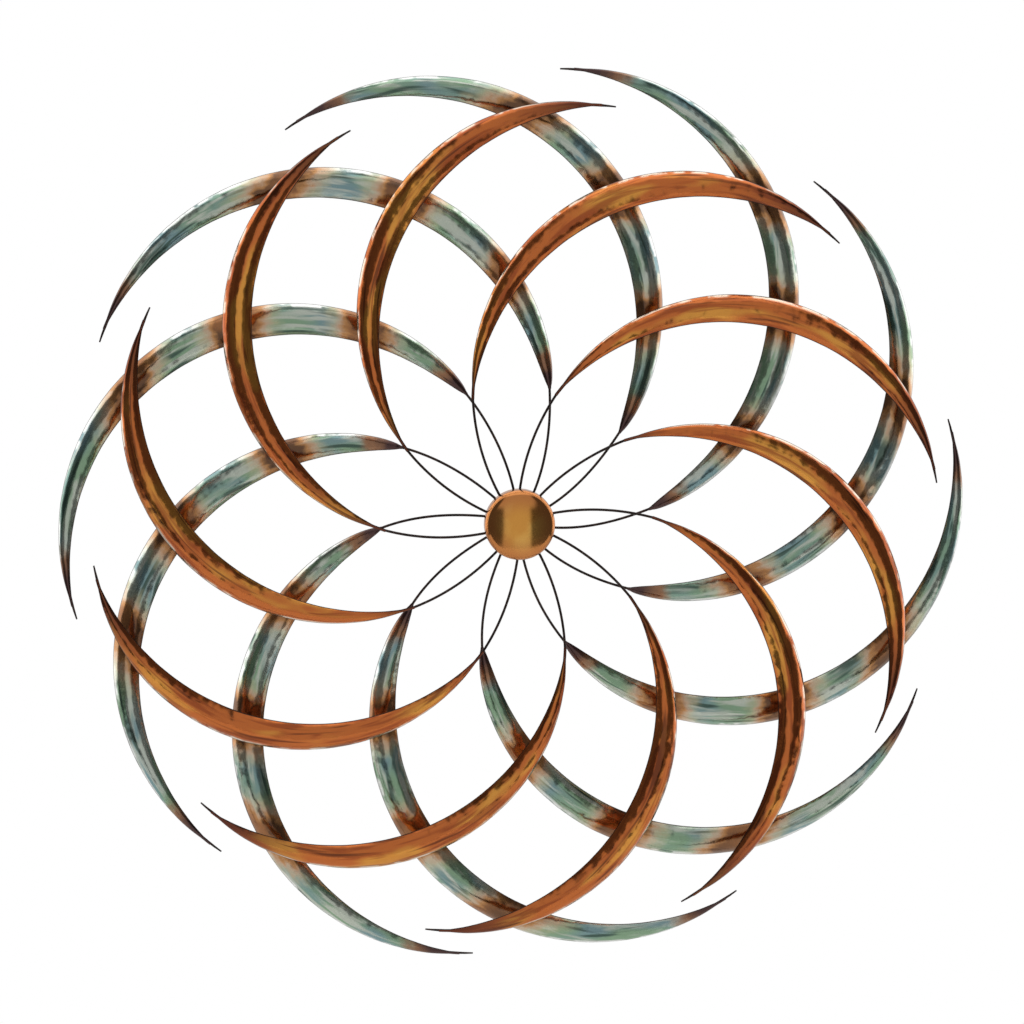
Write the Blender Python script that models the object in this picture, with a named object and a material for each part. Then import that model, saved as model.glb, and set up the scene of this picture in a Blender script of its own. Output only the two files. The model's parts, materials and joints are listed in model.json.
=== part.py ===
"""A wall-mounted kinetic wind sculpture: two counter-turning rotors of crescent blades on one axle.

The frame is +Z up, with the rotors facing -Y. The origin is the centre of the wall flange's back face,
and the axle runs along -Y from there. Everything is in metres.

Each rotor is a turned hub on two ball bearings, with ten spoke rods welded to its flange. A rod runs out
to a crescent blade and on along its hollow back, and its bare end sticks out past the blade's point.
The front rotor is copper. The rear one is verdigris, larger, and curls the other way.
"""

from dataclasses import dataclass
from math import atan2, cos, hypot, pi, radians, sin

import bmesh
import bpy
from mathutils import Matrix, Vector

MM = 0.001

# What both rotors share.
BLADE_COUNT = 10
ROD_RADIUS = 1.3 * MM
SHEET = 0.8 * MM
SECTION_HALF_ANGLE = radians(56)  # how far the blade's arched section turns each side of its crest
BARE_TIP = 14 * MM  # rod past the blade's outer point
PITCH = radians(10)  # how far each blade is rolled outwards about its rod, so that wind drives it
GAP = 0.3 * MM  # between pieces that touch
NARROWEST = 2 * (ROD_RADIUS + GAP + SHEET)  # a blade's width at its points, where it still covers the rod

# The axle and what it carries, all round about the Y axis.
AXLE_RADIUS = 4.0 * MM
BEARING_OUTER_RADIUS = 11.0 * MM
BEARING_WIDTH = 7.0 * MM
RACE_THICKNESS = 1.6 * MM
RACE_GROOVE = 0.7 * MM  # depth
BALL_COUNT = 7
BALL_GAP = 0.4 * MM  # between a ball and the bottom of each groove
CAGE_WIDTH = 2.6 * MM
CAGE_SHARE = 0.4  # of the room between the races
AXLE_CHAMFER = 0.7 * MM
AXLE_PAST_NUT = 2.0 * MM

WALL_FLANGE_RADIUS = 21.0 * MM
WALL_FLANGE_THICKNESS = 4.0 * MM
WALL_BOSS_RADIUS = 9.5 * MM
WALL_BOSS_LENGTH = 8.0 * MM
SOCKET_FLOOR = 3.0 * MM  # wall left behind the axle's blind socket
SCREW_HOLES = 3
SCREW_HOLE_RADIUS = 2.2 * MM
SCREW_HEAD_RADIUS = 3.9 * MM
SCREW_CIRCLE_RADIUS = 15.4 * MM
EDGE_CHAMFER = 0.8 * MM

STANDOFF_LENGTH = 23.4 * MM
SLEEVE_THICKNESS = 2.2 * MM
CENTRE_SPACER_LENGTH = 8.4 * MM

BARREL_WALL = 3.0 * MM
BARREL_LIP = 0.5 * MM  # barrel past its bearing's face
HUB_FLANGE_RADIUS = 27.0 * MM
HUB_FLANGE_THICKNESS = 2.5 * MM
SEAT_STEP = 1.5 * MM  # how far the shoulder between a hub's bearings stands in from their seats
REAR_SHOULDER_LENGTH = 7.4 * MM
FRONT_SHOULDER_LENGTH = 3.4 * MM
ROD_INNER_GAP = 2.5 * MM  # from the barrel to the rods' inner ends

NUT_ACROSS_FLATS = 13.0 * MM
NUT_HEX_LENGTH = 5.6 * MM
NUT_COLLAR_RADIUS = 8.6 * MM
NUT_COLLAR_LENGTH = 1.6 * MM

CAP_RADIUS = 35.6 * MM
CAP_SHEET = 1.0 * MM
CAP_ROD_GAP = 0.7 * MM
CAP_SKIRT = 3.0 * MM  # straight wall between the cap's rim and its dome
CAP_SQUARENESS = 3.2  # of the dome's curve: 2 is an ellipse, more is flatter in front and fuller at the rim
CAP_AXLE_GAP = 2.0 * MM
CAP_COLLAR_THICKNESS = 1.4 * MM
CAP_COLLAR_LENGTH = 6.0 * MM

# How finely things are faceted.
BLADE_STATIONS = 12
SECTION_STEPS = 4
SPOKE_STATIONS = 6
TURNED_STEPS = 24
RACE_STEPS = 14
HOLE_STEPS = 12
BALL_SEGMENTS = 6
BALL_RINGS = 4
CAP_STEPS = 28
DOME_STEPS = 6


@dataclass
class Rotor:
    """One set of blades. Each blade and the bare end of its rod lie along one circular arc."""

    name: str
    tip_radius: float  # axle to the rods' bare ends
    start_radius: float  # axle to the blades' inner points
    spread: float  # angle at the axle between a blade's inner point and its rod's bare end
    sweep: float  # angle that the arc between them turns through
    tip_angle: float  # of the first rod's bare end, from +X towards +Z
    spoke_spread: float  # angle at the axle between a rod's inner end and its blade's inner point
    spoke_sweep: float  # angle that the rod turns through between them
    blade_width: float
    inner_fullness: float  # the width grows as this power of the distance from the inner point
    widest_at: float  # share of the blade's length
    hand: int  # 1 curls clockwise going outwards, seen from the front, and -1 anticlockwise
    lean: float  # how far the blades stand from the hub's flange along Y


FRONT = Rotor(
    name="front",
    tip_radius=428 * MM,
    start_radius=135 * MM,
    spread=radians(69.2),
    sweep=radians(132.6),
    tip_angle=radians(41),
    spoke_spread=radians(18),
    spoke_sweep=radians(30),
    blade_width=29.5 * MM,
    inner_fullness=1.0,
    widest_at=0.52,
    hand=1,
    lean=-5.4 * MM,
)
REAR = Rotor(
    name="rear",
    tip_radius=457 * MM,
    start_radius=137 * MM,
    spread=radians(81),
    sweep=radians(156),
    tip_angle=radians(156.4),
    spoke_spread=radians(17),
    spoke_sweep=radians(30),
    blade_width=32.5 * MM,
    inner_fullness=0.55,
    widest_at=0.41,
    hand=-1,
    lean=26 * MM,
)

# Places along the axle, each in front of the one before it.
BOSS_FACE = -WALL_FLANGE_THICKNESS - WALL_BOSS_LENGTH
STANDOFF_FRONT = BOSS_FACE - GAP - STANDOFF_LENGTH
REAR_BEARING_BACK = STANDOFF_FRONT - GAP
REAR_BEARING_FRONT = REAR_BEARING_BACK - BEARING_WIDTH - 2 * GAP - REAR_SHOULDER_LENGTH
REAR_HUB_BACK = REAR_BEARING_BACK + BARREL_LIP
REAR_HUB_FRONT = REAR_BEARING_FRONT - BEARING_WIDTH - BARREL_LIP
SPACER_BACK = REAR_BEARING_FRONT - BEARING_WIDTH - GAP
FRONT_BEARING_BACK = SPACER_BACK - CENTRE_SPACER_LENGTH - GAP
FRONT_BEARING_FRONT = FRONT_BEARING_BACK - BEARING_WIDTH - 2 * GAP - FRONT_SHOULDER_LENGTH
FRONT_HUB_BACK = FRONT_BEARING_BACK + BARREL_LIP
FRONT_HUB_FRONT = FRONT_BEARING_FRONT - BEARING_WIDTH - BARREL_LIP
NUT_BACK = FRONT_BEARING_FRONT - BEARING_WIDTH - GAP
NUT_FRONT = NUT_BACK - NUT_COLLAR_LENGTH - NUT_HEX_LENGTH
AXLE_FRONT = NUT_FRONT - AXLE_PAST_NUT

BARREL_RADIUS = BEARING_OUTER_RADIUS + BARREL_WALL
INNER_RACE_FACE = AXLE_RADIUS + GAP + RACE_THICKNESS
OUTER_RACE_FACE = BEARING_OUTER_RADIUS - RACE_THICKNESS
BALL_CIRCLE = (INNER_RACE_FACE + OUTER_RACE_FACE) / 2
BALL_RADIUS = (OUTER_RACE_FACE - INNER_RACE_FACE) / 2 + RACE_GROOVE - BALL_GAP
REAR_ROD_PLANE = REAR_HUB_FRONT - GAP - ROD_RADIUS
FRONT_ROD_PLANE = FRONT_HUB_BACK - HUB_FLANGE_THICKNESS - GAP - ROD_RADIUS
CAP_RIM = FRONT_ROD_PLANE - ROD_RADIUS - CAP_ROD_GAP

COPPER = ("copper", (0.62, 0.24, 0.09), 0.3, 1.0)
VERDIGRIS = ("verdigris", (0.25, 0.46, 0.42), 0.35, 0.8)
ROD_STEEL = ("rod_steel", (0.09, 0.065, 0.055), 0.45, 1.0)
BRONZE = ("bronze_cap", (0.56, 0.33, 0.11), 0.25, 1.0)
HUB_STEEL = ("hub_steel", (0.16, 0.14, 0.13), 0.5, 1.0)
BRIGHT_STEEL = ("bright_steel", (0.62, 0.62, 0.62), 0.25, 1.0)


def clear_scene():
    for old in list(bpy.data.objects):
        bpy.data.objects.remove(old)


def material(finish):
    """The finish's Principled material, made once."""
    name, colour, roughness, metallic = finish
    made = bpy.data.materials.get(name)
    if made is None:
        made = bpy.data.materials.new(name)
        made.use_nodes = True
        shader = made.node_tree.nodes["Principled BSDF"]
        shader.inputs["Base Color"].default_value = (*colour, 1)
        shader.inputs["Roughness"].default_value = roughness
        shader.inputs["Metallic"].default_value = metallic
    return made


def add_object(name, data, finish, parent=None, turn=0.0):
    """Links an object that shows data, turned about Y under parent."""
    made = bpy.data.objects.new(name, data)
    bpy.context.scene.collection.objects.link(made)
    if not data.materials:
        data.materials.append(material(finish))
    made.parent = parent
    made.rotation_euler = (0, turn, 0)
    return made


def add_axis(name, y):
    """An empty on the axle, which a rotor's pieces are parented to."""
    axis = bpy.data.objects.new(name, None)
    bpy.context.scene.collection.objects.link(axis)
    axis.location = (0, y, 0)
    return axis


def finished(bm, name):
    """The mesh of bm, with its faces turned out and its round sides shaded smooth."""
    bmesh.ops.remove_doubles(bm, verts=bm.verts, dist=1e-7)
    bmesh.ops.recalc_face_normals(bm, faces=bm.faces)
    mesh = bpy.data.meshes.new(name)
    bm.to_mesh(mesh)
    bm.free()
    mesh.shade_smooth()
    mesh.set_sharp_from_angle(angle=radians(35))
    return mesh


def turned(name, profile, steps=TURNED_STEPS):
    """A mesh turned about the Y axis from (radius, y) points, a loop unless its two ends are on the axis."""
    bm = bmesh.new()
    verts = [bm.verts.new((radius, y, 0)) for radius, y in profile]
    pairs = list(zip(verts, verts[1:]))
    if profile[0][0] > 0:
        pairs.append((verts[-1], verts[0]))
    edges = [bm.edges.new(pair) for pair in pairs]
    bmesh.ops.spin(
        bm, geom=verts + edges, cent=(0, 0, 0), axis=(0, 1, 0), angle=2 * pi, steps=steps, use_merge=True
    )
    return finished(bm, name)


def combine(target, operation, tool_mesh):
    """Adds a hidden mesh to target (UNION) or takes it away (DIFFERENCE)."""
    tool = bpy.data.objects.new(tool_mesh.name, tool_mesh)
    bpy.context.scene.collection.objects.link(tool)
    tool.parent = target.parent
    tool.hide_render = True
    tool.display_type = "WIRE"
    boolean = target.modifiers.new(tool_mesh.name, "BOOLEAN")
    boolean.operation = operation
    boolean.solver = "EXACT"
    boolean.object = tool


# ---- Blades and rods. Both are laid out curling clockwise to a tip on +X, then turned into place. ----


def in_plane(radius, angle, y=0.0):
    return Vector((radius * cos(angle), y, radius * sin(angle)))


def clockwise_arc(start, end, sweep):
    """The centre and radius of the arc from start to end, and the angle about its centre where it starts."""
    chord = end - start
    radius = chord.length / 2 / sin(sweep / 2)
    inwards = Vector((chord.z, 0, -chord.x)).normalized()
    centre = start + chord / 2 + inwards * radius * cos(sweep / 2)
    return centre, radius, atan2(start.z - centre.z, start.x - centre.x)


def blade_arc(rotor):
    return clockwise_arc(
        in_plane(rotor.start_radius, rotor.spread), in_plane(rotor.tip_radius, 0), rotor.sweep
    )


def smooth_share(share):
    share = min(max(share, 0.0), 1.0)
    return share * share * (3 - 2 * share)


def leant(rotor, point):
    """The point moved along Y to where the rotor's rod runs at that distance from the axle."""
    start = HUB_FLANGE_RADIUS + 2 * ROD_RADIUS
    share = (hypot(point.x, point.z) - start) / (rotor.start_radius - start)
    return point + Vector((0, rotor.lean * smooth_share(share), 0))


def spoke_points(rotor):
    """The rod from beside the hub's barrel to the blade's inner point."""
    inner_end = in_plane(BARREL_RADIUS + ROD_INNER_GAP, rotor.spread + rotor.spoke_spread)
    blade_start = in_plane(rotor.start_radius, rotor.spread)
    centre, radius, first = clockwise_arc(inner_end, blade_start, rotor.spoke_sweep)
    angles = [first - rotor.spoke_sweep * step / SPOKE_STATIONS for step in range(SPOKE_STATIONS)]
    return [leant(rotor, centre + in_plane(radius, angle)) for angle in angles]


def placed(rotor, point):
    """A laid-out point, curled the rotor's way and turned to its first blade."""
    x, z = point.x, point.z * rotor.hand
    c, s = cos(rotor.tip_angle), sin(rotor.tip_angle)
    return Vector((c * x - s * z, point.y, s * x + c * z))


def station_angles(rotor):
    _, radius, start = blade_arc(rotor)
    turn = rotor.sweep - BARE_TIP / radius
    return [start - turn * step / BLADE_STATIONS for step in range(BLADE_STATIONS + 1)]


def rod_curve(rotor):
    """The rod as a bevelled curve: spoke, the blade's stations and the bare tip."""
    points = spoke_points(rotor)
    centre, radius, _ = blade_arc(rotor)
    points += [leant(rotor, centre + in_plane(radius, angle)) for angle in station_angles(rotor)]
    points.append(leant(rotor, in_plane(rotor.tip_radius, 0)))
    curve = bpy.data.curves.new(f"{rotor.name}_rod", "CURVE")
    curve.dimensions = "3D"
    curve.bevel_depth = ROD_RADIUS
    curve.bevel_resolution = 1
    curve.use_fill_caps = True
    spline = curve.splines.new("POLY")
    spline.points.add(len(points) - 1)
    for made, point in zip(spline.points, points):
        made.co = (*placed(rotor, point), 1)
    return curve


def blade_width(rotor, share):
    """The blade's width at a share of its length, from a point through its widest place to a point."""
    fullness = rotor.inner_fullness
    taper = fullness * (1 - rotor.widest_at) / rotor.widest_at
    grown = (share / rotor.widest_at) ** fullness
    narrowed = ((1 - share) / (1 - rotor.widest_at)) ** taper
    return max(rotor.blade_width * grown * narrowed, NARROWEST)


def blade_mesh(rotor):
    """The blade's outer skin: an arched section swept along its arc, crest to the front."""
    bm = bmesh.new()
    crest = ROD_RADIUS + GAP + SHEET
    front = Vector((0, -1, 0))
    centre, arc_radius, _ = blade_arc(rotor)
    rows = []
    for step, angle in enumerate(station_angles(rotor)):
        radius = blade_width(rotor, step / BLADE_STATIONS) / 2 / sin(SECTION_HALF_ANGLE)
        outwards = in_plane(1, angle)
        across = outwards * cos(PITCH) - front * sin(PITCH)
        forward = front * cos(PITCH) + outwards * sin(PITCH)
        rod = leant(rotor, centre + in_plane(arc_radius, angle))
        row = []
        for index in range(SECTION_STEPS + 1):
            turn = SECTION_HALF_ANGLE * (2 * index / SECTION_STEPS - 1)
            point = rod + across * radius * sin(turn) + forward * (crest - radius * (1 - cos(turn)))
            row.append(bm.verts.new(placed(rotor, point)))
        rows.append(row)
    for near, far in zip(rows, rows[1:]):
        for index in range(SECTION_STEPS):
            corners = [near[index], near[index + 1], far[index + 1], far[index]]
            bm.faces.new(corners[:: -rotor.hand])
    mesh = bpy.data.meshes.new(f"{rotor.name}_blade")
    bm.to_mesh(mesh)
    bm.free()
    mesh.shade_smooth()
    return mesh


def build_blades(rotor, axis, blade_finish, blade_name, rod_name):
    skin = blade_mesh(rotor)
    rod = rod_curve(rotor)
    for index in range(BLADE_COUNT):
        turn = -2 * pi * index / BLADE_COUNT
        blade = add_object(f"{blade_name}_{index + 1:02d}", skin, blade_finish, axis, turn)
        solid = blade.modifiers.new("sheet", "SOLIDIFY")
        solid.thickness = SHEET
        solid.offset = -1
        add_object(f"{rod_name}_{index + 1:02d}", rod, ROD_STEEL, axis, turn)


# ---- The hubs, their bearings and the cap ----


def hub_mesh(name, flange_end, other_end, seat_back, seat_front):
    """A barrel with a bearing seat at each end and a flange round the end that the rods are welded to."""
    seat = BEARING_OUTER_RADIUS + GAP
    neck = BEARING_OUTER_RADIUS - SEAT_STEP
    inward = 1 if other_end > flange_end else -1
    flange_back = flange_end + inward * HUB_FLANGE_THICKNESS
    outside = [
        (HUB_FLANGE_RADIUS, flange_end),
        (HUB_FLANGE_RADIUS, flange_back),
        (BARREL_RADIUS, flange_back),
        (BARREL_RADIUS, other_end),
    ]
    near, far = (seat_back, seat_front) if inward > 0 else (seat_front, seat_back)
    inside = [(seat, other_end), (seat, near), (neck, near), (neck, far), (seat, far), (seat, flange_end)]
    return turned(name, outside + inside)


def race_profile(radius, thickness, back):
    """A bearing race's section. Its groove is on the side that thickness points to."""
    face = radius + thickness
    floor = face - (RACE_GROOVE if thickness > 0 else -RACE_GROOVE)
    middle = back - BEARING_WIDTH / 2
    return [
        (radius, back),
        (face, back),
        (face, middle + BALL_RADIUS),
        (floor, middle),
        (face, middle - BALL_RADIUS),
        (face, back - BEARING_WIDTH),
        (radius, back - BEARING_WIDTH),
    ]


def build_ball_cage(name, back, cage_axis):
    """A cage ring with its balls, as one body that turns between the races."""
    middle = back - BEARING_WIDTH / 2 - cage_axis.location.y
    half_thickness = CAGE_SHARE * (OUTER_RACE_FACE - INNER_RACE_FACE) / 2
    inside, outside = BALL_CIRCLE - half_thickness, BALL_CIRCLE + half_thickness
    back_side, front_side = middle + CAGE_WIDTH / 2, middle - CAGE_WIDTH / 2
    ring = [(inside, back_side), (outside, back_side), (outside, front_side), (inside, front_side)]
    cage = add_object(name, turned(name, ring, RACE_STEPS), BRIGHT_STEEL, cage_axis)
    bm = bmesh.new()
    for index in range(BALL_COUNT):
        ball = bmesh.ops.create_uvsphere(
            bm, u_segments=BALL_SEGMENTS, v_segments=BALL_RINGS, radius=BALL_RADIUS
        )
        place = in_plane(BALL_CIRCLE, 2 * pi * (index + 0.25) / BALL_COUNT, middle)
        bmesh.ops.translate(bm, verts=ball["verts"], vec=place)
    combine(cage, "UNION", finished(bm, "balls"))


def build_bearing(name, back, hub_axis, cage_axis):
    inner = race_profile(AXLE_RADIUS + GAP, RACE_THICKNESS, back)
    outer = race_profile(BEARING_OUTER_RADIUS, -RACE_THICKNESS, back - hub_axis.location.y)
    add_object(f"{name}_inner_race", turned(f"{name}_inner_race", inner, RACE_STEPS), BRIGHT_STEEL)
    add_object(f"{name}_outer_race", turned(f"{name}_outer_race", outer, RACE_STEPS), BRIGHT_STEEL, hub_axis)
    build_ball_cage(f"{name}_ball_cage", back, cage_axis)


def cap_mesh(name, axis_y):
    """A domed cap: a short skirt, a shallow full-cornered dome, and a collar inside that grips the barrel."""
    rim = CAP_RIM - axis_y
    shoulder = rim - CAP_SKIRT
    apex = AXLE_FRONT - CAP_AXLE_GAP - axis_y
    collar_inside = BARREL_RADIUS + GAP
    collar_outside = collar_inside + CAP_COLLAR_THICKNESS
    collar_end = FRONT_HUB_FRONT + CAP_COLLAR_LENGTH - axis_y

    def dome(radius, height, angle):
        power = 2 / CAP_SQUARENESS
        return radius * cos(angle) ** power, shoulder - height * sin(angle) ** power

    inner_radius, inner_height = CAP_RADIUS - CAP_SHEET, shoulder - apex
    outer_height = inner_height + CAP_SHEET
    quarter = [pi / 2 * step / DOME_STEPS for step in range(DOME_STEPS + 1)]
    outside = [(0.0, shoulder - outer_height)] + [
        dome(CAP_RADIUS, outer_height, angle) for angle in reversed(quarter[:-1])
    ]
    inside = [dome(inner_radius, inner_height, angle) for angle in quarter[:-1]]

    def roof(radius):
        share = (radius / inner_radius) ** CAP_SQUARENESS
        return shoulder - inner_height * (1 - share) ** (1 / CAP_SQUARENESS)

    collar = [
        (collar_outside, roof(collar_outside)),
        (collar_outside, collar_end),
        (collar_inside, collar_end),
        (collar_inside, roof(collar_inside)),
    ]
    wide = [point for point in inside if point[0] > collar_outside + MM]
    narrow = [point for point in inside if point[0] < collar_inside - MM]
    profile = outside + [(CAP_RADIUS, rim), (inner_radius, rim)] + wide + collar + narrow
    return turned(name, profile + [(0.0, apex)], CAP_STEPS)


# ---- What stays still: wall flange, axle, sleeves and nut ----


def build_wall_flange():
    bore = AXLE_RADIUS + GAP
    plate_front = -WALL_FLANGE_THICKNESS
    profile = [
        (0.0, 0.0),
        (WALL_FLANGE_RADIUS, 0.0),
        (WALL_FLANGE_RADIUS, plate_front + EDGE_CHAMFER),
        (WALL_FLANGE_RADIUS - EDGE_CHAMFER, plate_front),
        (WALL_BOSS_RADIUS, plate_front),
        (WALL_BOSS_RADIUS, BOSS_FACE),
        (bore, BOSS_FACE),
        (bore, -SOCKET_FLOOR),
        (0.0, -SOCKET_FLOOR),
    ]
    flange = add_object("wall_flange", turned("wall_flange", profile, CAP_STEPS), HUB_STEEL)
    bm = bmesh.new()
    over = MM
    countersink = SCREW_HEAD_RADIUS - SCREW_HOLE_RADIUS
    for index in range(SCREW_HOLES):
        angle = pi / 2 + 2 * pi * index / SCREW_HOLES
        hole = [
            (0.0, over),
            (SCREW_HOLE_RADIUS, over),
            (SCREW_HOLE_RADIUS, plate_front + countersink),
            (SCREW_HEAD_RADIUS, plate_front),
            (SCREW_HEAD_RADIUS, plate_front - over),
            (0.0, plate_front - over),
        ]
        plug = turned("screw_hole", hole, HOLE_STEPS)
        plug.transform(Matrix.Translation(in_plane(SCREW_CIRCLE_RADIUS, angle)))
        bm.from_mesh(plug)
    combine(flange, "DIFFERENCE", finished(bm, "screw_holes"))


def build_axle():
    back = -SOCKET_FLOOR - GAP
    profile = [
        (0.0, back),
        (AXLE_RADIUS, back),
        (AXLE_RADIUS, AXLE_FRONT + AXLE_CHAMFER),
        (AXLE_RADIUS - AXLE_CHAMFER, AXLE_FRONT),
        (0.0, AXLE_FRONT),
    ]
    add_object("axle", turned("axle", profile), BRIGHT_STEEL)


def build_sleeve(name, back, length):
    inside = AXLE_RADIUS + GAP
    outside = inside + SLEEVE_THICKNESS
    front = back - length
    profile = [(inside, back), (outside, back), (outside, front), (inside, front)]
    add_object(name, turned(name, profile), BRIGHT_STEEL)


def build_lock_nut():
    """A hexagon nut with a round collar under it."""
    bore = AXLE_RADIUS + GAP
    collar_front = NUT_BACK - NUT_COLLAR_LENGTH
    circle = NUT_ACROSS_FLATS / 2 / cos(pi / 6)
    bm = bmesh.new()
    rings = []
    for y, radius in ((collar_front, circle), (NUT_FRONT, circle)):
        rings.append([bm.verts.new(in_plane(radius, pi / 3 * index, y)) for index in range(6)])
    bm.faces.new(rings[0])
    bm.faces.new(rings[1][::-1])
    for index in range(6):
        after = (index + 1) % 6
        bm.faces.new([rings[0][index], rings[0][after], rings[1][after], rings[1][index]])
    nut = add_object("lock_nut", finished(bm, "lock_nut"), BRIGHT_STEEL)
    overlap = MM / 2
    collar_profile = [
        (0.0, NUT_BACK),
        (NUT_COLLAR_RADIUS, NUT_BACK),
        (NUT_COLLAR_RADIUS, collar_front),
        (0.0, collar_front - overlap),
    ]
    combine(nut, "UNION", turned("nut_collar", collar_profile))
    mouth, end = NUT_BACK + MM, NUT_FRONT - MM
    combine(nut, "DIFFERENCE", turned("nut_bore", [(0.0, mouth), (bore, mouth), (bore, end), (0.0, end)]))


def main():
    clear_scene()
    front_axis = add_axis("front_rotor_axis", FRONT_ROD_PLANE)
    rear_axis = add_axis("rear_rotor_axis", REAR_ROD_PLANE)
    front_cages = add_axis("front_cage_axis", FRONT_ROD_PLANE)
    rear_cages = add_axis("rear_cage_axis", REAR_ROD_PLANE)

    build_wall_flange()
    build_axle()
    build_sleeve("standoff_sleeve", BOSS_FACE - GAP, STANDOFF_LENGTH)
    build_sleeve("centre_spacer", SPACER_BACK, CENTRE_SPACER_LENGTH)
    build_lock_nut()

    rear_hub = hub_mesh(
        "rear_hub",
        REAR_HUB_FRONT - REAR_ROD_PLANE,
        REAR_HUB_BACK - REAR_ROD_PLANE,
        REAR_BEARING_BACK - BEARING_WIDTH - GAP - REAR_ROD_PLANE,
        REAR_BEARING_FRONT + GAP - REAR_ROD_PLANE,
    )
    add_object("rear_hub", rear_hub, HUB_STEEL, rear_axis)
    front_hub = hub_mesh(
        "front_hub",
        FRONT_HUB_BACK - FRONT_ROD_PLANE,
        FRONT_HUB_FRONT - FRONT_ROD_PLANE,
        FRONT_BEARING_BACK - BEARING_WIDTH - GAP - FRONT_ROD_PLANE,
        FRONT_BEARING_FRONT + GAP - FRONT_ROD_PLANE,
    )
    add_object("front_hub", front_hub, HUB_STEEL, front_axis)
    add_object("hub_cap", cap_mesh("hub_cap", FRONT_ROD_PLANE), BRONZE, front_axis)

    build_bearing("rear_hub_back_bearing", REAR_BEARING_BACK, rear_axis, rear_cages)
    build_bearing("rear_hub_front_bearing", REAR_BEARING_FRONT, rear_axis, rear_cages)
    build_bearing("front_hub_back_bearing", FRONT_BEARING_BACK, front_axis, front_cages)
    build_bearing("front_hub_front_bearing", FRONT_BEARING_FRONT, front_axis, front_cages)

    build_blades(FRONT, front_axis, COPPER, "copper_blade", "front_spoke")
    build_blades(REAR, rear_axis, VERDIGRIS, "verdigris_blade", "rear_spoke")


main()
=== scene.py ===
import json
from math import asin, atan2, cos, hypot, pi, radians, sin

import bmesh
import bpy
import numpy as np
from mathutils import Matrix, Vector, noise


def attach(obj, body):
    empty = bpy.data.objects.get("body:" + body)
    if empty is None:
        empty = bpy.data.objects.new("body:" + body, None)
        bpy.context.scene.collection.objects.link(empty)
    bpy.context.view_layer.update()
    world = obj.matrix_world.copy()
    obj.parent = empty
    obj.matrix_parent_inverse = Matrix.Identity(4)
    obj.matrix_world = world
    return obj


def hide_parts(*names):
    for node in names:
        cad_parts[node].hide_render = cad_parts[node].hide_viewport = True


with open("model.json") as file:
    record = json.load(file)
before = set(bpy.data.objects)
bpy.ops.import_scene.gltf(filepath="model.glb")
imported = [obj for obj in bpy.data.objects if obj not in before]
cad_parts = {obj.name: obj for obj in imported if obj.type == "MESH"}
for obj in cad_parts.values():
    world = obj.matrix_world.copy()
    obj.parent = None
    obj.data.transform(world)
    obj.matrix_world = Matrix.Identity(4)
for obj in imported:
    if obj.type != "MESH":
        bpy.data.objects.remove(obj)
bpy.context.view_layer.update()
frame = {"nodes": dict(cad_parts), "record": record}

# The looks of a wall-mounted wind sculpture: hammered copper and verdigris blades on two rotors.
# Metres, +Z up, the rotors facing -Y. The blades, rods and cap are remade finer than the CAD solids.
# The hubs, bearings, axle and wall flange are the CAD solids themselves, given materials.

MM = 0.001

# ---- The CAD model's own sizes, repeated ----

BLADE_COUNT = 10
ROD_RADIUS = 1.3 * MM
SHEET = 0.8 * MM
SECTION_HALF_ANGLE = radians(56)
GAP = 0.3 * MM
NARROWEST = 2 * (ROD_RADIUS + GAP + SHEET)
BARE_TIP = 14 * MM
PITCH = radians(10)
ROD_INNER_RADIUS = 16.5 * MM
LEAN_START = 29.6 * MM

FRONT = {
    "name": "front", "blade": "copper_blade", "rod": "front_spoke",
    "tip_radius": 428 * MM, "start_radius": 135 * MM, "spread": radians(69.2), "sweep": radians(132.6),
    "tip_angle": radians(41), "spoke_spread": radians(18), "spoke_sweep": radians(30),
    "blade_width": 29.5 * MM, "inner_fullness": 1.0, "widest_at": 0.52, "hand": 1,
    "lean": -5.4 * MM, "plane": -70.6 * MM, "body": "front_rotor",
}
REAR = {
    "name": "rear", "blade": "verdigris_blade", "rod": "rear_spoke",
    "tip_radius": 457 * MM, "start_radius": 137 * MM, "spread": radians(81), "sweep": radians(156),
    "tip_angle": radians(156.4), "spoke_spread": radians(17), "spoke_sweep": radians(30),
    "blade_width": 32.5 * MM, "inner_fullness": 0.55, "widest_at": 0.41, "hand": -1,
    "lean": 26 * MM, "plane": -60.1 * MM, "body": "rear_rotor",
}

# ---- How finely the remade pieces are drawn ----

ALONG = 230  # quads along a blade
ACROSS = 18  # and across it
ROD_STEPS = (28, 72, 4)  # rings along a rod's spoke, behind its blade and in its bare end
ROD_SIDES = 10
CROSSING_STEPS = 120
# Hammer marks: how long, how wide and how deep
DENTS = ((21 * MM, 15 * MM, 0.42 * MM), (10 * MM, 8 * MM, 0.22 * MM), (5 * MM, 4 * MM, 0.03 * MM))
END_SHEET = 0.25 * MM  # the sheet where it closes onto its rod at either end


def in_plane(radius, angle, y=0.0):
    return Vector((radius * cos(angle), y, radius * sin(angle)))


def clockwise_arc(start, end, sweep):
    """The centre and radius of the arc from start to end, and the angle about its centre where it starts."""
    chord = end - start
    radius = chord.length / 2 / sin(sweep / 2)
    inwards = Vector((chord.z, 0, -chord.x)).normalized()
    centre = start + chord / 2 + inwards * radius * cos(sweep / 2)
    return centre, radius, atan2(start.z - centre.z, start.x - centre.x)


def blade_arc(rotor):
    start = in_plane(rotor["start_radius"], rotor["spread"])
    return clockwise_arc(start, in_plane(rotor["tip_radius"], 0), rotor["sweep"])


def smooth(low, high, value):
    share = min(max((value - low) / (high - low), 0.0), 1.0)
    return share * share * (3 - 2 * share)


def leant(rotor, point):
    """The point moved along Y to where the rotor's rod runs at that distance from the axle."""
    share = smooth(LEAN_START, rotor["start_radius"], hypot(point.x, point.z))
    return point + Vector((0, rotor["plane"] + rotor["lean"] * share, 0))


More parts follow.
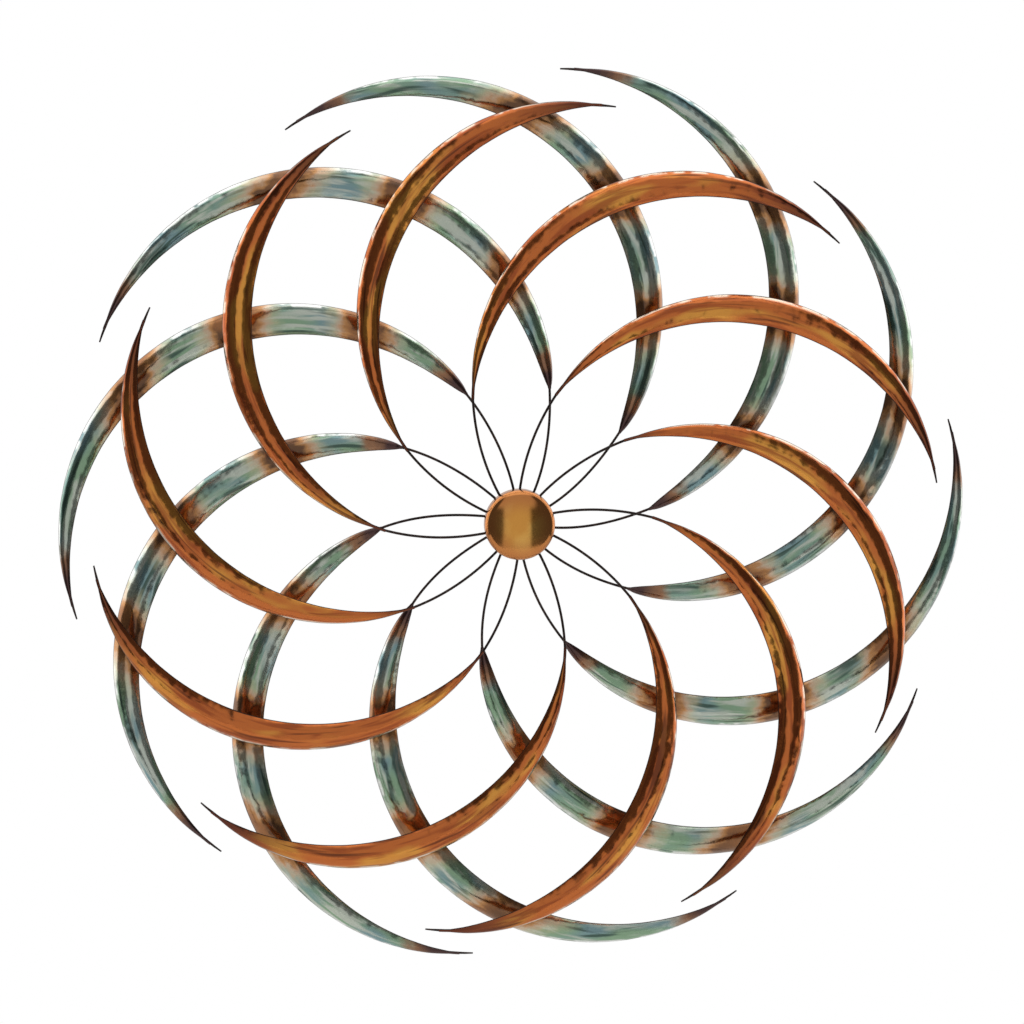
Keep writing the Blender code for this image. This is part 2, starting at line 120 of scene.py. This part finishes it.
def placed(rotor, index, vector):
    """A laid-out point or direction, curled the rotor's way and turned to one of its blades."""
    x, z = vector.x, vector.z * rotor["hand"]
    turn = rotor["tip_angle"] + 2 * pi * index / BLADE_COUNT
    c, s = cos(turn), sin(turn)
    return Vector((c * x - s * z, vector.y, s * x + c * z))


def blade_width(rotor, share, least=NARROWEST):
    fullness, widest = rotor["inner_fullness"], rotor["widest_at"]
    taper = fullness * (1 - widest) / widest
    grown = (share / widest) ** fullness
    narrowed = ((1 - share) / (1 - widest)) ** taper
    return max(rotor["blade_width"] * grown * narrowed, least)


def rod_path(rotor):
    """Points along a rod from the hub to its bare end."""
    spoke_steps, blade_steps, tip_steps = ROD_STEPS
    spread = rotor["spread"]
    inner_end = in_plane(ROD_INNER_RADIUS, spread + rotor["spoke_spread"])
    start = in_plane(rotor["start_radius"], spread)
    centre, radius, first = clockwise_arc(inner_end, start, rotor["spoke_sweep"])
    points = []
    for step in range(spoke_steps):
        points.append(centre + in_plane(radius, first - rotor["spoke_sweep"] * step / spoke_steps))
    centre, radius, first = blade_arc(rotor)
    steps = blade_steps + tip_steps
    for step in range(steps + 1):
        points.append(centre + in_plane(radius, first - rotor["sweep"] * step / steps))
    return [leant(rotor, point) for point in points]


# ---- Meshes ----


def new_piece(name, bm, body, material, replaces=(), sharp=None):
    mesh = bpy.data.meshes.new(name)
    bm.to_mesh(mesh)
    bm.free()
    mesh.materials.append(material)
    mesh.shade_smooth()
    if sharp is not None:
        mesh.set_sharp_from_angle(angle=sharp)
    piece = bpy.data.objects.new(name, mesh)
    bpy.context.scene.collection.objects.link(piece)
    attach(piece, body)
    if replaces:
        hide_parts(*replaces)
    return piece


def crossing_polylines():
    """The front rotor's blades seen from the front: centreline points with the blade's half width at each."""
    centre, radius, first = blade_arc(FRONT)
    turn = FRONT["sweep"] - BARE_TIP / radius
    points = []
    for index in range(BLADE_COUNT):
        for step in range(CROSSING_STEPS + 1):
            share = step / CROSSING_STEPS
            point = placed(FRONT, index, centre + in_plane(radius, first - turn * share))
            points.append((point.x, point.z, blade_width(FRONT, share) / 2))
    return np.array(points)


CROSSERS = crossing_polylines()


def distance_to_crossers(x, z):
    """How far a point is outside the nearest front blade's outline, as seen from the front."""
    return float((np.hypot(CROSSERS[:, 0] - x, CROSSERS[:, 1] - z) - CROSSERS[:, 2]).min())


BLADE_ATTRIBUTES = ("along", "across", "edge", "outer", "share", "crossing_distance")


def blade_mesh(rotor, index):
    """A hammered sheet crescent: front skin, back skin and the rim between them.
    Each vertex carries its place along and across the blade, its distance to the nearer edge, its share of
    the width (outer) and of the length (share), and its distance to the nearest crossing (crossing_distance),
    which places the painted reflection and shade of the copper blades on the verdigris ones."""
    bm = bmesh.new()
    layers = {name: bm.verts.layers.float.new(name) for name in BLADE_ATTRIBUTES}
    front = Vector((0, -1, 0))
    centre, arc_radius, first = blade_arc(rotor)
    turn = rotor["sweep"] - BARE_TIP / arc_radius
    length = turn * arc_radius
    seed = 31.7 * index + (400 if rotor is REAR else 0)
    skins = ([], [])
    for step in range(ALONG + 1):
        share = step / ALONG
        angle = first - turn * share
        width = blade_width(rotor, share, 2 * (ROD_RADIUS + END_SHEET))
        radius = width / 2 / sin(SECTION_HALF_ANGLE)
        opened = smooth(NARROWEST * 0.7, NARROWEST * 1.6, width)
        sheet = END_SHEET + (SHEET - END_SHEET) * opened
        crest = ROD_RADIUS + GAP * opened + sheet
        outwards = in_plane(1, angle)
        across = outwards * cos(PITCH) - front * sin(PITCH)
        forward = front * cos(PITCH) + outwards * sin(PITCH)
        rod = leant(rotor, centre + in_plane(arc_radius, angle))
        fade = smooth(NARROWEST, NARROWEST + 6 * MM, width)
        rows = ([], [])
        for column in range(ACROSS + 1):
            tilt = SECTION_HALF_ANGLE * (2 * column / ACROSS - 1)
            normal = across * sin(tilt) + forward * cos(tilt)
            point = rod + forward * (crest - radius) + normal * radius
            u, v = length * share, radius * tilt
            dent = sum(
                depth * noise.noise(Vector((u / long, v / wide, seed + order)))
                for order, (long, wide, depth) in enumerate(DENTS)
            )
            edge = (1 - abs(2 * column / ACROSS - 1)) * SECTION_HALF_ANGLE * radius
            dent *= fade * (0.5 + 0.5 * smooth(0, 3 * MM, edge))
            place = placed(rotor, index, point)
            # Distance outside the nearest front blade's outline, seen from the front: where the painted
            # reflection and shade of the copper blades go on a verdigris blade.
            crossing_distance = distance_to_crossers(place.x, place.z) if rotor is REAR else 1.0
            for side, depth in ((0, 0.0), (1, sheet)):
                vert = bm.verts.new(placed(rotor, index, point + normal * (dent - depth)))
                vert[layers["along"]] = u + 3.0 * index
                vert[layers["across"]] = v
                vert[layers["edge"]] = edge
                vert[layers["outer"]] = column / ACROSS
                vert[layers["share"]] = share
                vert[layers["crossing_distance"]] = crossing_distance
                rows[side].append(vert)
        skins[0].append(rows[0])
        skins[1].append(rows[1])
    outer, inner = skins

    def quad(a, b, c, d):
        corners = [a, b, c, d]
        bm.faces.new(corners[:: rotor["hand"]])

    for step in range(ALONG):
        for column in range(ACROSS):
            beside = column + 1
            quad(outer[step][column], outer[step][beside], outer[step + 1][beside], outer[step + 1][column])
            quad(inner[step][column], inner[step + 1][column], inner[step + 1][beside], inner[step][beside])
        quad(outer[step][0], outer[step + 1][0], inner[step + 1][0], inner[step][0])
        quad(outer[step][-1], inner[step][-1], inner[step + 1][-1], outer[step + 1][-1])
    for column in range(ACROSS):
        quad(outer[0][column], inner[0][column], inner[0][column + 1], outer[0][column + 1])
        quad(outer[-1][column], outer[-1][column + 1], inner[-1][column + 1], inner[-1][column])
    return bm


def rod_mesh(rotor, index):
    """A drawn rod, its bare end tapered to a blunt point."""
    bm = bmesh.new()
    layer = bm.verts.layers.float.new("along")
    path = [placed(rotor, index, point) for point in rod_path(rotor)]
    rings = []
    travelled = 0.0
    total = sum((b - a).length for a, b in zip(path, path[1:]))
    for step, point in enumerate(path):
        before, after = path[max(step - 1, 0)], path[min(step + 1, len(path) - 1)]
        ahead = (after - before).normalized()
        side = ahead.cross(Vector((0, 1, 0))).normalized()
        up = side.cross(ahead)
        if step:
            travelled += (point - path[step - 1]).length
        left = total - travelled
        radius = ROD_RADIUS * (0.6 + 0.4 * smooth(0, BARE_TIP, left))
        ring = []
        for corner in range(ROD_SIDES):
            a = 2 * pi * corner / ROD_SIDES
            vert = bm.verts.new(point + (side * cos(a) + up * sin(a)) * radius)
            vert[layer] = travelled + 2.0 * index
            ring.append(vert)
        rings.append(ring)
    for near, far in zip(rings, rings[1:]):
        for corner in range(ROD_SIDES):
            after = (corner + 1) % ROD_SIDES
            bm.faces.new([near[corner], near[after], far[after], far[corner]])
    bm.faces.new(rings[0][::-1])
    bm.faces.new(rings[-1])
    bmesh.ops.recalc_face_normals(bm, faces=bm.faces)
    return bm


CAP_RADIUS = 35.6 * MM
CAP_APEX = -97.5 * MM
CAP_RIM = -72.6 * MM
CAP_SHEET = 1.0 * MM
CAP_CROWN = 82 * MM  # the radius its front is domed to
CAP_CORNER = 9.5 * MM
CAP_COLLAR = (14.3 * MM, 15.7 * MM, -79.5 * MM)  # inside, outside and where it ends
CAP_STEPS = 128


def cap_profile():
    """From the apex out over the crown, round the corner, down the skirt, and back inside past the collar."""
    dome_centre = CAP_APEX + CAP_CROWN
    lean = asin((CAP_RADIUS - CAP_CORNER) / (CAP_CROWN - CAP_CORNER))
    corner_centre = dome_centre - (CAP_CROWN - CAP_CORNER) * cos(lean)

    def crown(radius, first, last, steps):
        angles = [first + (last - first) * step / steps for step in range(steps + 1)]
        return [(radius * sin(angle), dome_centre - radius * cos(angle)) for angle in angles]

    def corner(radius, steps=14):
        angles = [lean + (pi / 2 - lean) * step / steps for step in range(1, steps + 1)]
        middle = CAP_RADIUS - CAP_CORNER
        return [(middle + radius * sin(angle), corner_centre - radius * cos(angle)) for angle in angles]

    inner_crown, inner_corner = CAP_CROWN - CAP_SHEET, CAP_CORNER - CAP_SHEET
    collar_in, collar_out, collar_end = CAP_COLLAR
    at_out, at_in = asin(collar_out / inner_crown), asin(collar_in / inner_crown)
    outside = crown(CAP_CROWN, 0, lean, 24) + corner(CAP_CORNER) + [(CAP_RADIUS, CAP_RIM)]
    under = corner(inner_corner)[::-1] + crown(inner_crown, lean, at_out, 6)
    inside = [(CAP_RADIUS - CAP_SHEET, CAP_RIM)] + under
    collar = [(collar_out, collar_end), (collar_in, collar_end)]
    return outside + inside + collar + crown(inner_crown, at_in, 0, 4)


def lathe(profile, steps):
    """A closed profile of (radius, y) points, on the axis at both ends, turned about the Y axis."""
    bm = bmesh.new()
    ends = [bm.verts.new((0, profile[0][1], 0)), bm.verts.new((0, profile[-1][1], 0))]
    turns = [2 * pi * step / steps for step in range(steps)]
    rings = [[bm.verts.new(in_plane(radius, turn, y)) for turn in turns] for radius, y in profile[1:-1]]
    for near, far in zip(rings, rings[1:]):
        for step in range(steps):
            after = (step + 1) % steps
            bm.faces.new([near[step], near[after], far[after], far[step]])
    for end, ring in ((ends[0], rings[0]), (ends[1], rings[-1])):
        for step in range(steps):
            bm.faces.new([end, ring[step], ring[(step + 1) % steps]])
    bmesh.ops.recalc_face_normals(bm, faces=bm.faces)
    return bm


# ---- Materials ----


class Nodes:
    """A short way to write a material's node graph. A number or colour stands for a socket's own value."""

    def __init__(self, name):
        self.material = bpy.data.materials.new(name)
        self.material.use_nodes = True
        self.tree = self.material.node_tree
        self.shader = self.tree.nodes["Principled BSDF"]

    def put(self, socket, value):
        if isinstance(value, bpy.types.NodeSocket):
            self.tree.links.new(value, socket)
        elif isinstance(value, tuple) and len(value) == 3 and socket.type == "RGBA":
            socket.default_value = (*value, 1)
        else:
            socket.default_value = value

    def node(self, kind, settings=None, **inputs):
        made = self.tree.nodes.new(kind)
        for key, value in (settings or {}).items():
            setattr(made, key, value)
        for key, value in inputs.items():
            self.put(made.inputs[key.replace("_", " ")], value)
        return made

    def attribute(self, name):
        return self.node("ShaderNodeAttribute", {"attribute_name": name}).outputs["Fac"]

    def math(self, operation, a, b=0.0, c=0.0):
        made = self.node("ShaderNodeMath", {"operation": operation})
        for socket, value in zip(made.inputs, (a, b, c)):
            self.put(socket, value)
        return made.outputs[0]

    def span(self, value, low, high, start=0.0, end=1.0):
        """value from low..high eased to start..end."""
        made = self.node("ShaderNodeMapRange", {"interpolation_type": "SMOOTHSTEP"})
        for socket, item in zip(made.inputs, (value, low, high, start, end)):
            self.put(socket, item)
        return made.outputs[0]

    def mix(self, factor, a, b, blend="MIX"):
        made = self.node("ShaderNodeMix", {"data_type": "RGBA", "blend_type": blend})
        self.put(made.inputs[0], factor)
        self.put(made.inputs[6], a)
        self.put(made.inputs[7], b)
        return made.outputs[2]

    def vector(self, x, y, z=0.0):
        made = self.node("ShaderNodeCombineXYZ")
        for socket, value in zip(made.inputs, (x, y, z)):
            self.put(socket, value)
        return made.outputs[0]

    def noise(self, vector, scale, detail=3.0, roughness=0.55, distortion=0.0):
        return self.node(
            "ShaderNodeTexNoise", Vector=vector, Scale=scale, Detail=detail, Roughness=roughness,
            Distortion=distortion,
        ).outputs[0]

    def bump(self, height, strength, distance, normal=None):
        made = self.node("ShaderNodeBump", Height=height, Strength=strength, Distance=distance)
        if normal is not None:
            self.put(made.inputs["Normal"], normal)
        return made.outputs[0]

    def shade(self, **inputs):
        for key, value in inputs.items():
            self.put(self.shader.inputs[key.replace("_", " ")], value)
        return self.material


def wandering_band(n, along, outer, at, half, soft):
    """1 inside a lengthwise band of the blade's width that wanders from side to side, easing to 0 outside."""
    drift = n.noise(n.vector(n.math("MULTIPLY", along, 26.0), 3.7), 1.0, 2.0, 0.5)
    place = n.math("ADD", outer, n.math("MULTIPLY", n.math("SUBTRACT", drift, 0.5), 0.9))
    off = n.math("ABSOLUTE", n.math("SUBTRACT", place, at))
    return n.span(off, half + soft, max(half - soft, 0.0))


def copper():
    n = Nodes("hammered_copper")
    along, across, edge, share, outer = (
        n.attribute(a) for a in ("along", "across", "edge", "share", "outer")
    )
    streaks = n.vector(n.math("MULTIPLY", along, 13.0), n.math("MULTIPLY", across, 130.0))
    broad = n.vector(n.math("MULTIPLY", along, 9.0), n.math("MULTIPLY", across, 34.0))
    cell = n.vector(n.math("MULTIPLY", along, 60.0), n.math("MULTIPLY", across, 60.0))
    heat = n.noise(broad, 1.0, 2.0, 0.5)
    streak = n.noise(streaks, 1.0, 2.5, 0.55, 0.5)
    # A golder lengthwise band near mid-width: a painted reflection stripe of the soft panel in front, laid
    # over heat tint that varies at random.
    middle = wandering_band(n, along, outer, 0.42, 0.16, 0.16)
    redness = n.math("SUBTRACT", n.span(heat, 0.32, 0.60), n.math("MULTIPLY", middle, 0.40))
    gold_red = n.mix(n.span(redness, -0.20, 0.55), (0.84, 0.37, 0.068), (0.64, 0.175, 0.042))
    body = n.mix(n.span(streak, 0.50, 0.64, 0.0, 0.75), gold_red, (0.36, 0.075, 0.022))
    lines = n.vector(n.math("MULTIPLY", along, 9.0), n.math("MULTIPLY", across, 170.0), 5.0)
    stained = n.span(n.noise(lines, 1.0, 2.0, 0.5, 0.3), 0.57, 0.68, 0.0, 0.8)
    dark = n.mix(stained, body, (0.15, 0.040, 0.016))
    # Painted highlight: pale broken patches along the outer edge stand in for the white glints that edge
    # catches.
    patches = n.span(n.noise(cell, 0.9, 2.0, 0.5), 0.44, 0.56)
    painted_edge_highlight = n.math("MULTIPLY", n.span(outer, 0.82, 0.93), patches)
    bright = n.mix(n.math("MULTIPLY", painted_edge_highlight, 0.85), dark, (0.97, 0.84, 0.68))
    ends = n.math("MAXIMUM", n.span(share, 0.76, 0.97), n.span(share, 0.10, 0.01))
    ended = n.mix(n.math("MULTIPLY", ends, 0.88), bright, (0.12, 0.035, 0.024))
    rim = n.span(edge, 0.0014, 0.0005)
    colour = n.mix(rim, ended, (0.035, 0.018, 0.014))
    fleck = n.noise(cell, 5.0, 3.0, 0.6)
    rough = n.math("ADD", n.span(fleck, 0.35, 0.75, 0.14, 0.24), n.math("MULTIPLY", rim, 0.25))
    dents = n.bump(n.noise(cell, 1.2, 1.0, 0.5), 0.75, 0.0014)
    return n.shade(
        Base_Color=colour, Metallic=1.0, Roughness=rough, Coat_Weight=0.25, Coat_Roughness=0.12,
        Normal=n.bump(fleck, 0.06, 0.0002, dents),
    )


def verdigris():
    n = Nodes("verdigris_patina")
    along, across, edge, share, crossing_distance, outer = (
        n.attribute(a) for a in ("along", "across", "edge", "share", "crossing_distance", "outer")
    )
    streaks = n.vector(n.math("MULTIPLY", along, 15.0), n.math("MULTIPLY", across, 110.0))
    broad = n.vector(n.math("MULTIPLY", along, 11.0), n.math("MULTIPLY", across, 26.0))
    cell = n.vector(n.math("MULTIPLY", along, 60.0), n.math("MULTIPLY", across, 60.0))
    tone = n.noise(broad, 1.0, 2.0, 0.5)
    sage_blue = n.mix(n.span(tone, 0.42, 0.60), (0.27, 0.43, 0.27), (0.22, 0.36, 0.38))
    streak = n.noise(streaks, 1.0, 2.5, 0.55, 0.7)
    pale = n.mix(n.span(streak, 0.46, 0.62, 0.0, 0.85), sage_blue, (0.64, 0.68, 0.59))
    lines = n.vector(n.math("MULTIPLY", along, 10.0), n.math("MULTIPLY", across, 120.0), 5.0)
    stained = n.span(n.noise(lines, 1.0, 2.5, 0.5, 0.4), 0.55, 0.66, 0.0, 0.9)
    deep = n.mix(stained, pale, (0.035, 0.085, 0.062))
    waver = n.math("MULTIPLY", n.math("SUBTRACT", n.noise(cell, 1.2, 2.5, 0.55), 0.5), 0.020)
    # Painted highlight: near-white broken patches along the outer edge stand in for the white glints that
    # edge catches.
    patches = n.span(n.noise(cell, 0.9, 2.0, 0.5), 0.42, 0.54)
    painted_edge_highlight = n.math("MULTIPLY", n.span(outer, 0.78, 0.90), patches)
    bright = n.mix(n.math("MULTIPLY", painted_edge_highlight, 0.95), deep, (0.95, 0.96, 0.93))
    # Painted reflection and shade of the copper blades in front: straw, pink, burnt-orange and dark brown
    # bands closing in on each verdigris blade where a copper blade crosses it at rest.
    ragged = n.math("MULTIPLY", n.math("SUBTRACT", streak, 0.5), 0.02)
    reach = n.math("ADD", crossing_distance, n.math("ADD", waver, ragged))
    reflected_straw = n.mix(n.span(reach, 0.034, 0.018, 0.0, 0.55), bright, (0.66, 0.60, 0.36))
    reflected_blush = n.mix(n.span(reach, 0.024, 0.012, 0.0, 0.85), reflected_straw, (0.70, 0.45, 0.30))
    reflected_copper = n.mix(n.span(reach, 0.016, 0.008, 0.0, 0.92), reflected_blush, (0.56, 0.25, 0.07))
    scale = n.mix(n.span(tone, 0.40, 0.60), (0.10, 0.04, 0.016), (0.34, 0.13, 0.04))
    crossing_shade = n.mix(n.span(reach, 0.010, 0.003, 0.0, 0.88), reflected_copper, scale)
    end = n.math("ADD", share, n.math("MULTIPLY", waver, 2.0))
    warm_ends = n.math("MAXIMUM", n.span(end, 0.89, 0.93), n.span(end, 0.08, 0.05))
    warmed = n.mix(warm_ends, crossing_shade, (0.36, 0.17, 0.08))
    plum = n.math("MAXIMUM", n.span(end, 0.91, 0.96), n.span(end, 0.055, 0.02))
    ended = n.mix(plum, warmed, (0.075, 0.03, 0.028))
    rim = n.span(edge, 0.0014, 0.0004)
    colour = n.mix(rim, ended, (0.04, 0.028, 0.022))
    fleck = n.noise(cell, 5.0, 3.0, 0.6)
    specks = n.span(n.noise(cell, 12.0, 2.0, 0.5), 0.72, 0.80, 0.0, 0.5)
    colour = n.mix(specks, colour, (0.06, 0.05, 0.04))
    rough = n.math("ADD", n.span(fleck, 0.35, 0.75, 0.15, 0.28), n.math("MULTIPLY", rim, 0.25))
    dents = n.bump(n.noise(cell, 1.2, 1.0, 0.5), 0.75, 0.0014)
    return n.shade(
        Base_Color=colour, Metallic=0.88, Roughness=rough, Coat_Weight=0.7, Coat_Roughness=0.10,
        Normal=n.bump(fleck, 0.08, 0.0002, dents),
    )


def rod_metal():
    n = Nodes("darkened_rod")
    spot = n.node("ShaderNodeTexCoord").outputs["Object"]
    mottle = n.noise(spot, 160.0, 4.0, 0.6)
    colour = n.mix(n.span(mottle, 0.4, 0.7), (0.028, 0.020, 0.018), (0.075, 0.045, 0.035))
    return n.shade(
        Base_Color=colour, Metallic=0.8, Roughness=n.span(mottle, 0.3, 0.7, 0.32, 0.52),
        Normal=n.bump(n.noise(spot, 900.0, 3.0), 0.2, 0.0002),
    )


def cap_bronze():
    n = Nodes("polished_bronze")
    spot = n.node("ShaderNodeTexCoord").outputs["Object"]
    parts = n.node("ShaderNodeSeparateXYZ", Vector=spot)
    flat = n.vector(parts.outputs[0], parts.outputs[2])
    out = n.node("ShaderNodeVectorMath", {"operation": "LENGTH"}, Vector=flat).outputs["Value"]
    broad = n.noise(spot, 34.0, 3.0, 0.5)
    fine = n.noise(spot, 420.0, 4.0, 0.65)
    gold = n.mix(n.span(broad, 0.38, 0.62), (0.92, 0.50, 0.12), (0.80, 0.37, 0.075))
    # Painted shade: redder and darker towards the rim, where the dome turns away from the soft panel in
    # front.
    painted_rim_shade = n.span(out, 0.25 * CAP_RADIUS, 0.90 * CAP_RADIUS, 0.0, 0.85)
    colour = n.mix(painted_rim_shade, gold, (0.60, 0.21, 0.07))
    return n.shade(
        Base_Color=colour, Metallic=1.0, Roughness=n.span(fine, 0.3, 0.7, 0.10, 0.17),
        Coat_Weight=0.1, Coat_Roughness=0.1,
        Normal=n.bump(fine, 0.05, 0.0001, n.bump(n.noise(spot, 60.0, 2.0), 0.12, 0.0005)),
    )


def hub_steel():
    n = Nodes("blackened_steel")
    spot = n.node("ShaderNodeTexCoord").outputs["Object"]
    mottle = n.noise(spot, 120.0, 5.0, 0.6)
    colour = n.mix(n.span(mottle, 0.38, 0.68), (0.035, 0.032, 0.031), (0.11, 0.085, 0.07))
    return n.shade(
        Base_Color=colour, Metallic=0.9, Roughness=n.span(mottle, 0.3, 0.7, 0.35, 0.55),
        Normal=n.bump(n.noise(spot, 1400.0, 3.0), 0.15, 0.0001),
    )


def turned_steel():
    n = Nodes("turned_steel")
    spot = n.node("ShaderNodeTexCoord").outputs["Object"]
    parts = n.node("ShaderNodeSeparateXYZ", Vector=spot)
    grooves = n.noise(n.vector(0.0, n.math("MULTIPLY", parts.outputs[1], 2600.0)), 1.0, 2.0)
    stain = n.noise(spot, 90.0, 4.0, 0.6)
    colour = n.mix(n.span(stain, 0.4, 0.7), (0.62, 0.61, 0.59), (0.40, 0.37, 0.34))
    return n.shade(
        Base_Color=colour, Metallic=1.0, Roughness=n.span(grooves, 0.3, 0.7, 0.22, 0.38),
        Normal=n.bump(grooves, 0.2, 0.0001),
    )


# ---- Build ----

COPPER, VERDIGRIS, ROD, BRONZE, BLACK, STEEL = (
    copper(), verdigris(), rod_metal(), cap_bronze(), hub_steel(), turned_steel(),
)
for rotor, material, slot in ((FRONT, COPPER, "copper"), (REAR, VERDIGRIS, "verdigris")):
    for index in range(BLADE_COUNT):
        label = f"{index + 1:02d}"
        new_piece(
            f"hammered_{rotor['blade']}_{label}", blade_mesh(rotor, index), rotor["body"], material,
            [f"{rotor['blade']}_{label}"], radians(40),
        )
        new_piece(
            f"drawn_{rotor['rod']}_{label}", rod_mesh(rotor, index), rotor["body"], ROD,
            [f"{rotor['rod']}_{label}"], radians(50),
        )

new_piece(
    "spun_cap", lathe(cap_profile(), CAP_STEPS), "front_rotor", BRONZE, ["hub_cap"],
    radians(35),
)

SLOT_MATERIALS = {"hub_steel": BLACK, "bright_steel": STEEL}
for entry in frame["record"]["subparts"]:
    chosen = SLOT_MATERIALS.get(entry["material_slot"])
    if chosen is not None:
        node = frame["nodes"][entry["node"]]
        node.data.materials.clear()
        node.data.materials.append(chosen)

# ---- Floor, light and camera ----

FLOOR_HEIGHT = -0.75
FLOOR_HALF_WIDTH = 1.6
FLOOR_NEAR, FLOOR_FAR = -0.95, 0.45
CAMERA_AZIMUTH, CAMERA_ELEVATION, CAMERA_DISTANCE = radians(-4.8), radians(7.5), 3.2
CAMERA_SHIFT = (-0.0073, 0.0120)  # of what it aims at: to the right and up
VIEW_WIDTH = 1.032192  # at the object
SENSOR_WIDTH = 36


def floor():
    mesh = bpy.data.meshes.new("floor")
    half, near, far = FLOOR_HALF_WIDTH, FLOOR_NEAR, FLOOR_FAR
    corners = [(-half, near), (half, near), (half, far), (-half, far)]
    mesh.from_pydata([(x, y, FLOOR_HEIGHT) for x, y in corners], [], [(0, 1, 2, 3)])
    n = Nodes("floor_paint")
    grain = n.noise(n.node("ShaderNodeTexCoord").outputs["Object"], 30.0, 3.0)
    paint = n.mix(grain, (0.80, 0.80, 0.79), (0.84, 0.84, 0.83))
    mesh.materials.append(n.shade(Base_Color=paint, Roughness=0.7))
    made = bpy.data.objects.new("floor", mesh)
    bpy.context.scene.collection.objects.link(made)


def studio():
    """White to the camera. What the metal reflects is a dim room with a tall soft panel in front, a wider one
    above it, a bright ceiling, and bright sweeps round the sides and behind."""
    world = bpy.data.worlds.new("studio")
    bpy.context.scene.world = world
    world.use_nodes = True
    tree = world.node_tree
    tree.nodes.clear()

    def node(kind, **settings):
        made = tree.nodes.new(kind)
        for key, value in settings.items():
            setattr(made, key, value)
        return made

    def math(operation, a, b):
        made = node("ShaderNodeMath", operation=operation)
        for socket, value in zip(made.inputs, (a, b)):
            if isinstance(value, bpy.types.NodeSocket):
                tree.links.new(value, socket)
            else:
                socket.default_value = value
        return made.outputs[0]

    def ease(value, low, high, end=1.0):
        made = node("ShaderNodeMapRange", interpolation_type="SMOOTHSTEP")
        tree.links.new(value, made.inputs[0])
        for socket, item in zip(list(made.inputs)[1:5], (low, high, 0.0, end)):
            socket.default_value = item
        return made.outputs[0]

    split = node("ShaderNodeSeparateXYZ")
    tree.links.new(node("ShaderNodeTexCoord").outputs["Generated"], split.inputs[0])
    x, y, z = split.outputs

    def card(left, right, low, high, soft, strength):
        sides = math("MULTIPLY", ease(x, left - soft, left + soft), ease(x, right + soft, right - soft))
        ends = math("MULTIPLY", ease(z, low - soft, low + soft), ease(z, high + soft, high - soft))
        return math("MULTIPLY", math("MULTIPLY", sides, ends), ease(y, 0.20, -0.05, strength))

    light = math("ADD", 0.13, ease(z, -0.30, -0.95, 0.25))
    surround = math("MULTIPLY", ease(y, -0.16, 0.04, 1.7), ease(z, -0.50, -0.15))
    for term in (
        card(-0.34, 0.33, -1.3, 0.40, 0.05, 0.72),
        card(-0.50, 0.45, 0.30, 1.3, 0.09, 0.72),
        ease(z, 0.78, 0.95, 1.4),
        math("MULTIPLY", surround, ease(y, 0.90, 0.65)),
        ease(y, -0.05, 0.25, 0.55),
        ease(y, 0.55, 0.85, 0.80),
    ):
        light = math("MAXIMUM", light, term)
    shine = node("ShaderNodeBackground")
    tree.links.new(light, shine.inputs["Strength"])
    plain = node("ShaderNodeBackground")
    plain.inputs["Color"].default_value = (1, 1, 1, 1)
    plain.inputs["Strength"].default_value = 1.0
    choose = node("ShaderNodeMixShader")
    tree.links.new(node("ShaderNodeLightPath").outputs["Is Camera Ray"], choose.inputs[0])
    tree.links.new(shine.outputs[0], choose.inputs[1])
    tree.links.new(plain.outputs[0], choose.inputs[2])
    tree.links.new(choose.outputs[0], node("ShaderNodeOutputWorld").inputs[0])
    bpy.context.scene.view_settings.view_transform = "Standard"


def camera():
    azimuth, elevation = CAMERA_AZIMUTH, CAMERA_ELEVATION
    back = Vector((sin(azimuth) * cos(elevation), -cos(azimuth) * cos(elevation), sin(elevation)))
    right = Vector((cos(azimuth), sin(azimuth), 0))
    up = right.cross(-back)
    aim = Vector((0, -0.076, 0)) + right * CAMERA_SHIFT[0] + up * CAMERA_SHIFT[1]
    data = bpy.data.cameras.new("camera")
    data.sensor_width = SENSOR_WIDTH
    data.lens = SENSOR_WIDTH * CAMERA_DISTANCE / VIEW_WIDTH
    data.clip_end = 20
    made = bpy.data.objects.new("camera", data)
    made.location = aim + back * CAMERA_DISTANCE
    made.rotation_mode = "QUATERNION"
    made.rotation_quaternion = (-back).to_track_quat("-Z", "Y")
    bpy.context.scene.collection.objects.link(made)
    bpy.context.scene.camera = made


floor()
studio()
camera()
